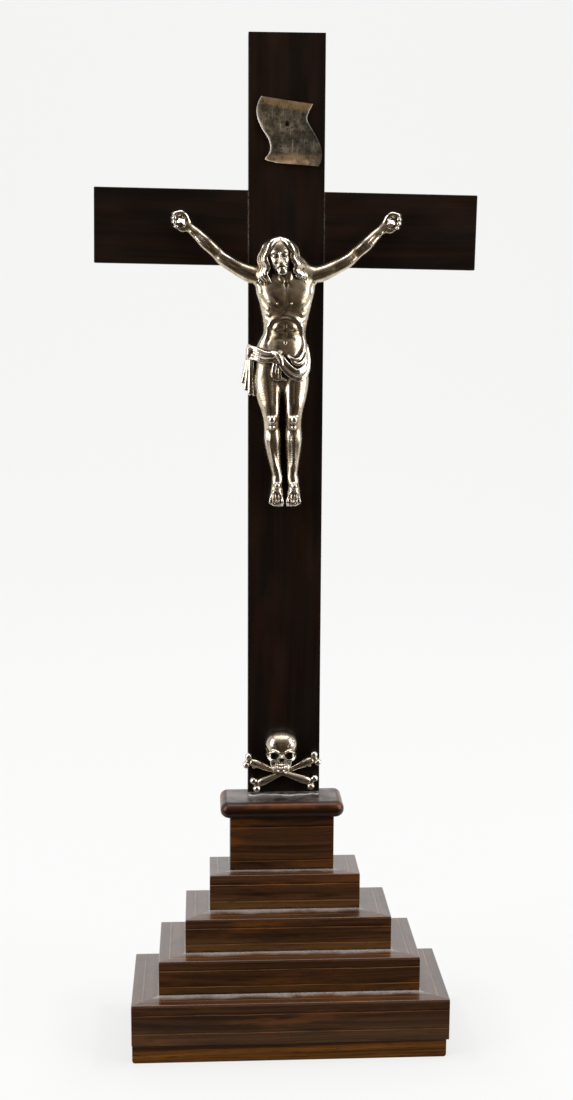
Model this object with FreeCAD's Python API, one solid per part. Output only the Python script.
import FreeCAD, Part
import math, os

# Altar cross on a stepped foot, free-standing.  Millimetres.
# Frame: origin at the middle of the footprint box on the resting plane,
# +X to the right as one faces the figure, +Y towards the flat back, +Z up.
# The front (figure side) looks along -Y.  The foot has four steps at the
# front and at both sides only: every level ends flush in one flat back.

V = FreeCAD.Vector

# ---------------------------------------------------------------- dimensions
total_height = 520.0            # floor to top of the upright
depth = 61.8                    # front of the lowest step to the flat back
y_front = -depth / 2.0
y_back = depth / 2.0

veneer = 1.3                    # thickness of the sawn veneers
board_height = 9.6              # plain board under the foot
board_side_gap_left = 0.3       # how far the board stays inside the veneer
board_side_gap_right = 1.5
board_front_gap = 0.3

# levels of the foot: centre x, half width, set-back of the front, top
step_cx = [1.7, 1.5, 1.35, 0.0]
step_half = [82.5, 68.3, 54.3, 40.0]
step_set = [0.0, 11.4, 22.0, 34.5]
step_top = [31.8, 50.2, 68.4, 87.6]
ped_cx, ped_half, ped_set, ped_top = -1.3, 27.7, 42.1, 117.4
cap_over = 5.2                  # cap overhang at the front and the sides
cap_top = 126.1
cap_nose = 4.2                  # radius of the rounded cap edge
cap_corner = 5.0
arris = 0.5                     # softened edges of the veneer work

wood_t = 8.0                    # thickness of upright and crossbeam
post_half = 19.25               # upright, half width
post_front = y_back - wood_t    # plane of the front faces of the cross
beam_half = 97.0                # crossbeam, half length
beam_z0, beam_z1 = 405.8, 443.3
beam_tilt = 0.8                 # degrees, right arm low, as hand-cut
lap = wood_t / 2.0              # half-lap: upright in front, beam behind
tenon_half, tenon_y0, tenon_t, tenon_len = 12.0, 25.2, 4.0, 28.0

screw_head_r, screw_shank_r, screw_len = 3.4, 1.7, 22.0
screw_xy = [(-62.0, -16.0), (64.0, -16.0), (-62.0, 18.0), (64.0, 18.0)]

F = post_front                  # relief depths below are measured from here


# ------------------------------------------------------------------- helpers
def box(x0, x1, y0, y1, z0, z1):
    return Part.makeBox(x1 - x0, y1 - y0, z1 - z0, V(x0, y0, z0))


def prism(points, z0, z1):
    w = Part.makePolygon([V(x, y, z0) for x, y in points] + [V(points[0][0], points[0][1], z0)])
    return Part.Face(w).extrude(V(0, 0, z1 - z0))


def edges_where(shape, test):
    out = []
    for e in shape.Edges:
        a, b = e.Vertexes[0].Point, e.Vertexes[-1].Point
        if test(a, b):
            out.append(e)
    return out


def near(a, b, tol=1e-4):
    return abs(a - b) < tol


def section(c, u, v, ru, rv, n=14, squash_back=None):
    """Closed smooth section round c in the plane of unit vectors u and v."""
    pts = []
    for i in range(n):
        t = 2 * math.pi * i / n
        a, b = ru * math.cos(t), rv * math.sin(t)
        pts.append(c + u * a + v * b)
    s = Part.BSplineCurve()
    s.interpolate(pts, True)
    return Part.Wire(s.toShape())


def level(x, z, d, rx, rd):
    """Horizontal section of the figure: d is the height over the wood."""
    return section(V(x, F - d, z), V(1, 0, 0), V(0, -1, 0), rx, rd)


def loft(wires):
    return Part.makeLoft(wires, True, False)


def limb(points, radii):
    """Round limb along a path of points, sections square to the path."""
    ws = []
    for i, p in enumerate(points):
        a = points[max(i - 1, 0)]
        b = points[min(i + 1, len(points) - 1)]
        t = (b - a)
        t.normalize()
        u = t.cross(V(0, 1, 0))
        u.normalize()
        v = t.cross(u)
        r = radii[i]
        ru, rv = r if isinstance(r, tuple) else (r, r)
        ws.append(section(p, u, v, ru, rv))
    return loft(ws)


def ellipsoid(x, z, d, rx, rz, rd):
    s = Part.makeSphere(1.0)
    m = FreeCAD.Matrix()
    m.scale(rx, rd, rz)
    s = s.transformGeometry(m)
    s.translate(V(x, F - d, z))
    return s


def rod(a, b, r):
    d = b - a
    return Part.makeCylinder(r, d.Length, a, d)


def P(x, z, d):
    return V(x, F - d, z)


def join(parts):
    s = parts[0].fuse(parts[1:])
    s = s.removeSplitter()
    return s


parts = {}

# ------------------------------------------------------------ foot: base board
bx0 = step_cx[0] - step_half[0] + board_side_gap_left
bx1 = step_cx[0] + step_half[0] - board_side_gap_right
board = box(bx0, bx1, y_front + board_front_gap, y_back, 0, board_height)
board = board.makeFillet(1.5, edges_where(board, lambda a, b: near(a.z, 0) and near(b.z, 0) and near(a.x, b.x)))
screws, screw_cuts = [], []
for sx, sy in screw_xy:
    z_head = 0.5
    head = Part.makeCone(screw_head_r, screw_shank_r, screw_head_r - screw_shank_r, V(sx, sy, z_head), V(0, 0, 1))
    shank = Part.makeCylinder(screw_shank_r, screw_len - 2.5, V(sx, sy, z_head))
    tip = Part.makeCone(screw_shank_r, 0.3, 2.5, V(sx, sy, z_head + screw_len - 2.5), V(0, 0, 1))
    body = head.fuse([shank, tip]).removeSplitter()
    screw_cuts.append(body.fuse(Part.makeCylinder(screw_head_r, z_head, V(sx, sy, 0))).removeSplitter())
    slot = box(sx - screw_head_r, sx + screw_head_r, sy - 0.45, sy + 0.45, z_head, z_head + 0.9)
    screws.append(body.cut(slot))
for c in screw_cuts:
    board = board.cut(c)
parts["base_board"] = board
parts["base_screws"] = Part.makeCompound(screws)

# ------------------------------------------------------------ foot: four steps
def level_pieces(name, cx, half, y0, z_core0, z_core1, z_top, inner, treads=True):
    """One level: light core, three riser veneers, three mitred tread strips."""
    x0, x1 = cx - half, cx + half
    core = box(x0 + veneer, x1 - veneer, y0 + veneer, y_back, z_core0, z_core1)
    shell = box(x0, x1, y0, y_back, z_core0, z_core1)
    shell = shell.makeFillet(arris, edges_where(shell, lambda a, b: near(a.y, y0) and near(b.y, y0) and near(a.x, b.x)))
    shell = shell.cut(box(x0 + veneer, x1 - veneer, y0 + veneer, y_back + 5, z_core0 - 1, z_core1 + 1))
    parts[name + "_riser_front"] = shell.common(box(x0 - 1, x1 + 1, y0 - 1, y0 + veneer, z_core0 - 1, z_core1 + 1))
    parts[name + "_riser_left"] = shell.common(box(x0 - 1, x0 + veneer, y0 + veneer, y_back + 1, z_core0 - 1, z_core1 + 1))
    parts[name + "_riser_right"] = shell.common(box(x1 - veneer, x1 + 1, y0 + veneer, y_back + 1, z_core0 - 1, z_core1 + 1))
    if treads:
        ix0, ix1, iy0 = inner
        slab = box(x0, x1, y0, y_back, z_core1, z_top)
        slab = slab.makeFillet(arris, edges_where(slab, lambda a, b: near(a.y, y0) and near(b.y, y0) and near(a.x, b.x)))
        slab = slab.makeFillet(arris, edges_where(slab, lambda a, b: near(a.z, z_top) and near(b.z, z_top)
                                                  and not (near(a.y, y_back) and near(b.y, y_back))))
        slab = slab.cut(box(ix0, ix1, iy0, y_back + 5, z_core1 - 1, z_top + 1))
        ex = 3.0
        kx, ky = ix0 - x0, iy0 - y0
        lo = (x0 - ex * kx, y0 - ex * ky)
        kr = x1 - ix1
        ro = (x1 + ex * kr, y0 - ex * ky)
        parts[name + "_tread_front"] = slab.common(prism([lo, ro, (ix1, iy0), (ix0, iy0)], z_core1 - 1, z_top + 1))
        parts[name + "_tread_left"] = slab.common(prism([lo, (ix0, iy0), (ix0, y_back + 1), (lo[0], y_back + 1)], z_core1 - 1, z_top + 1))
        parts[name + "_tread_right"] = slab.common(prism([ro, (ro[0], y_back + 1), (ix1, y_back + 1), (ix1, iy0)], z_core1 - 1, z_top + 1))
    return core


all_cx = step_cx + [ped_cx]
all_half = step_half + [ped_half]
all_set = step_set + [ped_set]
z_low = board_height
cores = {}
for i in range(4):
    z_top = step_top[i]
    z_core1 = z_top - veneer
    inner = (all_cx[i + 1] - all_half[i + 1], all_cx[i + 1] + all_half[i + 1], y_front + all_set[i + 1])
    cores["step_%d_core" % (i + 1)] = level_pieces("step_%d" % (i + 1), step_cx[i], step_half[i], y_front + step_set[i],
                                                   z_low, z_core1, z_top, inner)
    z_low = z_core1
for c in screw_cuts:
    cores["step_1_core"] = cores["step_1_core"].cut(c)

# ------------------------------------------------------- pedestal and its cap
ped = level_pieces("pedestal", ped_cx, ped_half, y_front + ped_set, z_low, ped_top, ped_top, None, treads=False)
for side in ("front", "left", "right"):
    parts["pedestal_veneer_" + side] = parts.pop("pedestal_riser_" + side)
tenon = box(-tenon_half, tenon_half, tenon_y0, tenon_y0 + tenon_t, cap_top - tenon_len, cap_top)
cores["pedestal_core"] = ped.cut(tenon)
parts.update(cores)

cx0, cx1 = ped_cx - ped_half - cap_over, ped_cx + ped_half + cap_over
cy0 = y_front + ped_set - cap_over
cap = box(cx0, cx1, cy0, y_back, ped_top, cap_top)
cap = cap.makeFillet(cap_corner, edges_where(cap, lambda a, b: near(a.y, cy0) and near(b.y, cy0) and near(a.x, b.x)))
cap = cap.makeFillet(cap_nose, edges_where(cap, lambda a, b: near(a.z, b.z) and not (near(a.y, y_back) and near(b.y, y_back))))
parts["cap_slab"] = cap.cut(tenon)

# ------------------------------------------------ the cross: upright and beam
post_box = box(-post_half, post_half, F, y_back, cap_top, total_height)
post = post_box.makeFillet(0.4, edges_where(post_box, lambda a, b: near(a.x, b.x) and near(a.y, b.y)))
zc = (beam_z0 + beam_z1) / 2.0
beam_box = box(-beam_half, beam_half, F, y_back, beam_z0, beam_z1)
beam = beam_box.makeFillet(0.5, edges_where(beam_box, lambda a, b: True))
for s in (beam_box, beam):
    s.rotate(V(0, 0, zc), V(0, 1, 0), beam_tilt)
front_half = box(-300, 300, F - 5, F + lap, 0, 600)
back_half = box(-300, 300, F + lap, y_back + 5, 0, 600)
post = post.cut(beam_box.common(back_half))
beam = beam.cut(post_box.common(front_half))
post = post.fuse(tenon).removeSplitter()

# ------------------------------------------------------------- corpus: body
# Half-relief casting with a flat back that lies on the upright.
torso = loft([level(-2.6, 352.0, 5.0, 13.2, 6.2),
              level(-2.0, 360.0, 5.0, 12.6, 6.2),
              level(-1.2, 368.0, 5.0, 11.4, 5.8),
              level(-0.9, 375.2, 5.0, 11.1, 5.7),
              level(-0.7, 382.0, 5.4, 12.8, 7.0),
              level(-0.6, 389.0, 5.6, 13.8, 7.6),
              level(-0.7, 396.0, 5.4, 15.4, 7.0),
              level(-0.8, 401.5, 5.0, 15.6, 5.4),
              level(-1.2, 405.5, 5.0, 10.0, 4.2)])
neck = limb([P(-1.6, 400.0, 6.0), P(-2.2, 407.0, 9.5)], [4.2, 3.9])
head = ellipsoid(-2.9, 410.6, 10.6, 6.4, 8.4, 6.6)
hair = ellipsoid(-3.1, 411.6, 8.2, 9.6, 8.4, 6.4)
lock_l = limb([P(-11.2, 411.0, 8.0), P(-12.6, 405.5, 9.0), P(-11.4, 400.0, 10.0), P(-10.4, 394.6, 10.2)],
              [3.0, 2.9, 2.4, 1.2])
lock_r = limb([P(5.6, 412.0, 8.0), P(7.6, 406.0, 8.6), P(8.6, 401.5, 9.4), P(9.2, 397.6, 9.6)],
              [3.0, 2.8, 2.2, 1.2])
leg_l = loft([level(-9.2, 356.0, 5.4, 7.2, 5.8), level(-9.4, 348.6, 5.6, 7.1, 5.8), level(-8.4, 338.0, 5.8, 5.7, 5.2),
              level(-7.4, 328.2, 6.4, 4.2, 4.4), level(-6.9, 319.4, 5.2, 4.4, 4.5), level(-5.6, 309.0, 4.4, 3.5, 3.7),
              level(-4.4, 299.6, 3.9, 2.5, 3.0), level(-4.4, 295.5, 4.0, 2.8, 3.2)])
leg_r = loft([level(4.3, 356.0, 5.4, 6.8, 5.8), level(4.6, 348.6, 5.6, 6.9, 5.8), level(4.4, 338.0, 5.8, 5.6, 5.2),
              level(3.65, 328.2, 6.4, 4.3, 4.4), level(4.1, 319.4, 5.2, 4.5, 4.5), level(4.0, 309.0, 4.4, 3.6, 3.7),
              level(3.7, 299.6, 3.9, 2.7, 3.0), level(4.0, 295.5, 4.0, 3.0, 3.2)])
foot_l = limb([P(-4.3, 298.5, 3.6), P(-4.4, 293.5, 4.2), P(-4.8, 288.0, 4.0), P(-4.9, 283.2, 3.0)],
              [(2.7, 3.0), (3.0, 3.2), (3.9, 2.7), (3.5, 1.7)])
foot_r = limb([P(3.8, 298.5, 3.6), P(4.1, 293.5, 4.2), P(4.1, 288.0, 4.0), P(3.9, 283.2, 3.0)],
              [(2.8, 3.0), (3.1, 3.2), (4.1, 2.7), (3.7, 1.7)])
sash = limb([P(-18.2, 364.6, 6.4), P(-12.0, 361.5, 9.6), P(-5.2, 358.6, 10.8), P(0.0, 353.4, 11.0), P(5.4, 351.2, 10.8),
             P(10.6, 354.0, 8.4)], [(2.4, 2.4), (2.8, 2.0), (2.6, 1.9), (2.8, 1.9), (2.8, 1.9), (2.2, 2.0)])
cloth = loft([level(-3.0, 366.0, 4.6, 13.6, 7.0), level(-3.2, 361.0, 4.6, 13.8, 7.4), level(-3.0, 353.0, 4.7, 14.4, 7.7),
              level(-2.6, 347.4, 4.7, 13.6, 7.0)])
tail = limb([P(-17.4, 362.0, 5.4), P(-18.6, 355.0, 5.2), P(-19.6, 347.0, 4.8), P(-19.8, 341.6, 4.4)],
            [(1.8, 2.4), (2.2, 2.2), (3.0, 1.9), (2.6, 1.5)])

body = join([torso, neck, head, hair, lock_l, lock_r, leg_l, leg_r, foot_l, foot_r, cloth, sash, tail])
body = body.common(box(-60, 60, F - 40, F, 200, 500))

# ------------------------------------------------------------- corpus: arms
def hand(sx):
    """Half-closed hand: palm and four fingers curled over to the outside."""
    h = [ellipsoid(sx * 52.4, 426.4, 3.0, 4.4, 4.6, 2.6)]
    for k in range(4):
        z0 = 431.6 - 2.35 * k
        h.append(limb([P(sx * 53.6, z0 - 0.6, 2.4), P(sx * 56.2, z0 - 1.2, 2.8), P(sx * 57.0, z0 - 1.6, 4.4),
                       P(sx * 55.6, z0 - 1.8, 5.4)], [1.3, 1.25, 1.15, 1.0]))
    h.append(limb([P(sx * 50.0, 429.6, 3.2), P(sx * 52.6, 431.8, 4.0), P(sx * 54.6, 431.4, 4.8)], [1.5, 1.3, 1.0]))
    return h


hand_l = join(hand(-1))
hand_r = hand_l.mirror(V(0, 0, 0), V(1, 0, 0))
arm_l = join([limb([P(-15.6, 400.6, 5.0), P(-20.2, 402.0, 5.0), P(-26.0, 405.6, 4.8), P(-32.0, 409.2, 4.6), P(-38.0, 414.2, 4.2),
                    P(-43.6, 419.6, 3.8), P(-48.4, 424.2, 3.4), P(-50.8, 426.0, 3.2)],
                   [4.5, 4.4, 3.9, 3.9, 3.3, 3.1, 2.5, 2.4]), hand_l])
arm_r = join([limb([P(14.4, 401.2, 5.0), P(18.6, 402.6, 5.0), P(25.0, 405.8, 4.8), P(30.8, 408.8, 4.6), P(36.8, 413.6, 4.2),
                    P(42.4, 418.6, 3.8), P(46.8, 423.4, 3.4), P(49.6, 425.6, 3.2)],
                   [4.3, 4.1, 3.9, 4.0, 3.3, 3.1, 2.4, 2.4]), hand_r])
wood_side = box(-100, 100, F, F + 20, 350, 500)
arm_l = arm_l.cut(wood_side)
arm_r = arm_r.cut(wood_side)
# The arms are cast apart and set on pegs in the shoulders.
sock_l = (P(-16.6, 400.9, 4.9), P(-10.6, 399.3, 4.9))
sock_r = (P(15.4, 401.5, 4.9), P(9.4, 399.9, 4.9))
split_l = box(-60, -15.4, F - 30, F + 5, 380, 440)
split_r = box(14.2, 60, F - 30, F + 5, 380, 440)
body = body.cut([split_l.common(box(-60, -15.4, F - 30, F + 5, 393.0, 440)), split_r.common(box(14.2, 60, F - 30, F + 5, 393.0, 440))])
arm_l = arm_l.common(split_l)
arm_r = arm_r.common(split_r)
peg_l = rod(sock_l[0], sock_l[1], 1.4)
peg_r = rod(sock_r[0], sock_r[1], 1.4)
body = body.cut([peg_l, peg_r])
arm_l = arm_l.fuse(peg_l.common(box(-60, -10, F - 30, F + 5, 380, 440))).removeSplitter()
arm_r = arm_r.fuse(peg_r.common(box(9, 60, F - 30, F + 5, 380, 440))).removeSplitter()

# ---------------------------------------------- nails, plaque, skull and bones
def nail(x, z, d_head, r_head, shank_r, faceted):
    tail_p = P(x, z, -5.5)
    shank = rod(P(x, z, d_head), tail_p, shank_r)
    if faceted:
        c = P(x, z, d_head)
        base = Part.makePolygon([V(c.x + r_head * math.cos(a), c.y, c.z + r_head * math.sin(a))
                                 for a in [math.radians(45 + 90 * k) for k in range(5)]])
        top = Part.makePolygon([V(c.x + 0.45 * r_head * math.cos(a), c.y - 1.3, c.z + 0.45 * r_head * math.sin(a))
                                for a in [math.radians(45 + 90 * k) for k in range(5)]])
        head_s = Part.makeLoft([base, top], True, True)
    else:
        head_s = ellipsoid(x, z, d_head, r_head, r_head, 0.9)
        head_s = head_s.common(box(x - 5, x + 5, F - 30, F - d_head, z - 5, z + 5))
    return shank.fuse(head_s).removeSplitter()


hand_nails = [nail(-53.2, 427.2, 5.7, 1.9, 0.7, True), nail(52.5, 427.2, 5.7, 1.9, 0.7, True)]
foot_nails = [nail(-4.5, 294.6, 7.2, 1.5, 0.7, False), nail(4.4, 294.2, 7.2, 1.5, 0.7, False)]
for n in hand_nails:
    beam = beam.cut(n)
arm_l = arm_l.cut(hand_nails[0])
arm_r = arm_r.cut(hand_nails[1])
for n in foot_nails:
    body = body.cut(n)
    post = post.cut(n)
parts["hand_nails"] = Part.makeCompound(hand_nails)
parts["foot_nails"] = Part.makeCompound(foot_nails)

plaque_t = 0.7
plaque_pts = [(-13.05, 489.1), (12.91, 485.5), (10.05, 479.1), (11.74, 474.7), (15.2, 469.2), (17.47, 463.6), (17.36, 458.6),
              (15.93, 455.4), (-5.48, 456.9), (-10.97, 458.6), (-8.97, 461.6), (-8.38, 465.0), (-9.54, 468.9), (-12.46, 473.3),
              (-14.72, 478.3), (-15.33, 482.7), (-14.49, 486.3)]
pl = [V(x, F, z) for x, z in plaque_pts]


def spl(pts):
    s = Part.BSplineCurve()
    s.interpolate(pts)
    return s.toShape()


outline = Part.Wire([Part.makeLine(pl[0], pl[1]), spl(pl[1:8]), Part.makeLine(pl[7], pl[8]), spl(pl[8:]+[pl[0]])])
plaque = Part.Face(outline).extrude(V(0, -plaque_t, 0))
tack_c = (0.05, 476.2)
tack = rod(P(tack_c[0], tack_c[1], plaque_t + 0.3), P(tack_c[0], tack_c[1], -4.5), 0.55)
tack_head = ellipsoid(tack_c[0], tack_c[1], plaque_t, 1.25, 1.25, 0.7).common(
    box(-5, 5, F - 10, F - plaque_t, 470, 482))
tack = tack.fuse(tack_head).removeSplitter()
plaque = plaque.cut(tack)
post = post.cut(tack)
parts["scroll_plaque"] = plaque
parts["plaque_tack"] = tack


def bone(xa, za, da, xb, zb, db, r_end, r_mid, knob, spread):
    a, b = P(xa, za, da), P(xb, zb, db)
    t = b - a
    t.normalize()
    n = t.cross(V(0, 1, 0))
    n.normalize()
    pts = [a + (b - a) * k for k in (0.0, 0.12, 0.3, 0.5, 0.7, 0.88, 1.0)]
    s = [limb(pts, [r_end, r_end * 0.92, r_mid * 1.15, r_mid, r_mid * 1.15, r_end * 0.92, r_end])]
    for e in (a, b):
        for k in (-1, 1):
            c = e + n * (k * spread)
            sp = Part.makeSphere(knob)
            sp.translate(c)
            s.append(sp)
    return join(s)


bone_a = bone(-19.0, 145.4, 2.3, 14.8, 133.4, 2.3, 1.8, 1.15, 1.75, 2.2)
bone_b = bone(16.5, 146.1, 2.1, -14.8, 132.3, 2.1, 1.8, 1.15, 1.75, 2.1)
front_only = box(-60, 60, F - 30, F, 100, 200)
bones = join([bone_a, bone_b]).common(front_only)
skull = join([ellipsoid(-1.55, 153.9, 4.2, 8.7, 8.8, 7.2),
              ellipsoid(-1.8, 147.4, 5.0, 7.0, 5.0, 5.4),
              ellipsoid(-2.1, 143.8, 5.2, 4.9, 3.6, 4.6)])
for ex, ez in ((-6.0, 150.9), (2.1, 150.9)):
    skull = skull.cut(ellipsoid(ex, ez, 11.0, 2.3, 2.1, 3.2))
skull = skull.cut(ellipsoid(-2.1, 147.6, 10.8, 0.9, 1.4, 2.4))
skull = skull.common(front_only)
pin = rod(P(-1.6, 152.5, 4.0), P(-1.6, 152.5, -5.5), 0.8)
skull = skull.cut(pin)
post = post.cut(pin)
bone_pin = rod(P(-1.3, 139.3, 2.6), P(-1.3, 139.3, -5.5), 0.6)
bones = bones.cut(bone_pin)
skull = skull.cut([bones, bone_pin])
post = post.cut(bone_pin)
parts["skull"] = skull
parts["crossbones"] = bones
parts["skull_pins"] = Part.makeCompound([pin, bone_pin])

parts["upright_post"] = post
parts["crossbeam"] = beam
parts["corpus_body"] = body
parts["corpus_left_arm"] = arm_l
parts["corpus_right_arm"] = arm_r

# --------------------------------------------------------------------- output
os.makedirs("parts", exist_ok=True)
for old in os.listdir("parts"):
    if old.endswith(".step"):
        os.remove(os.path.join("parts", old))
for name, shape in sorted(parts.items()):
    sol = shape.Solids
    flag = "" if shape.isValid() else "  INVALID"
    want = {"base_screws": 4, "hand_nails": 2, "foot_nails": 2, "skull_pins": 2}.get(name, 1)
    if len(sol) != want:
        flag += "  SOLIDS %d" % len(sol)
    out = sol[0] if want == 1 and len(sol) == 1 else Part.makeCompound(sol)
    out.exportStep(os.path.join("parts", name + ".step"))
    print("%-24s %8.1f mm3%s" % (name, shape.Volume, flag))
print(len(parts), "nodes")
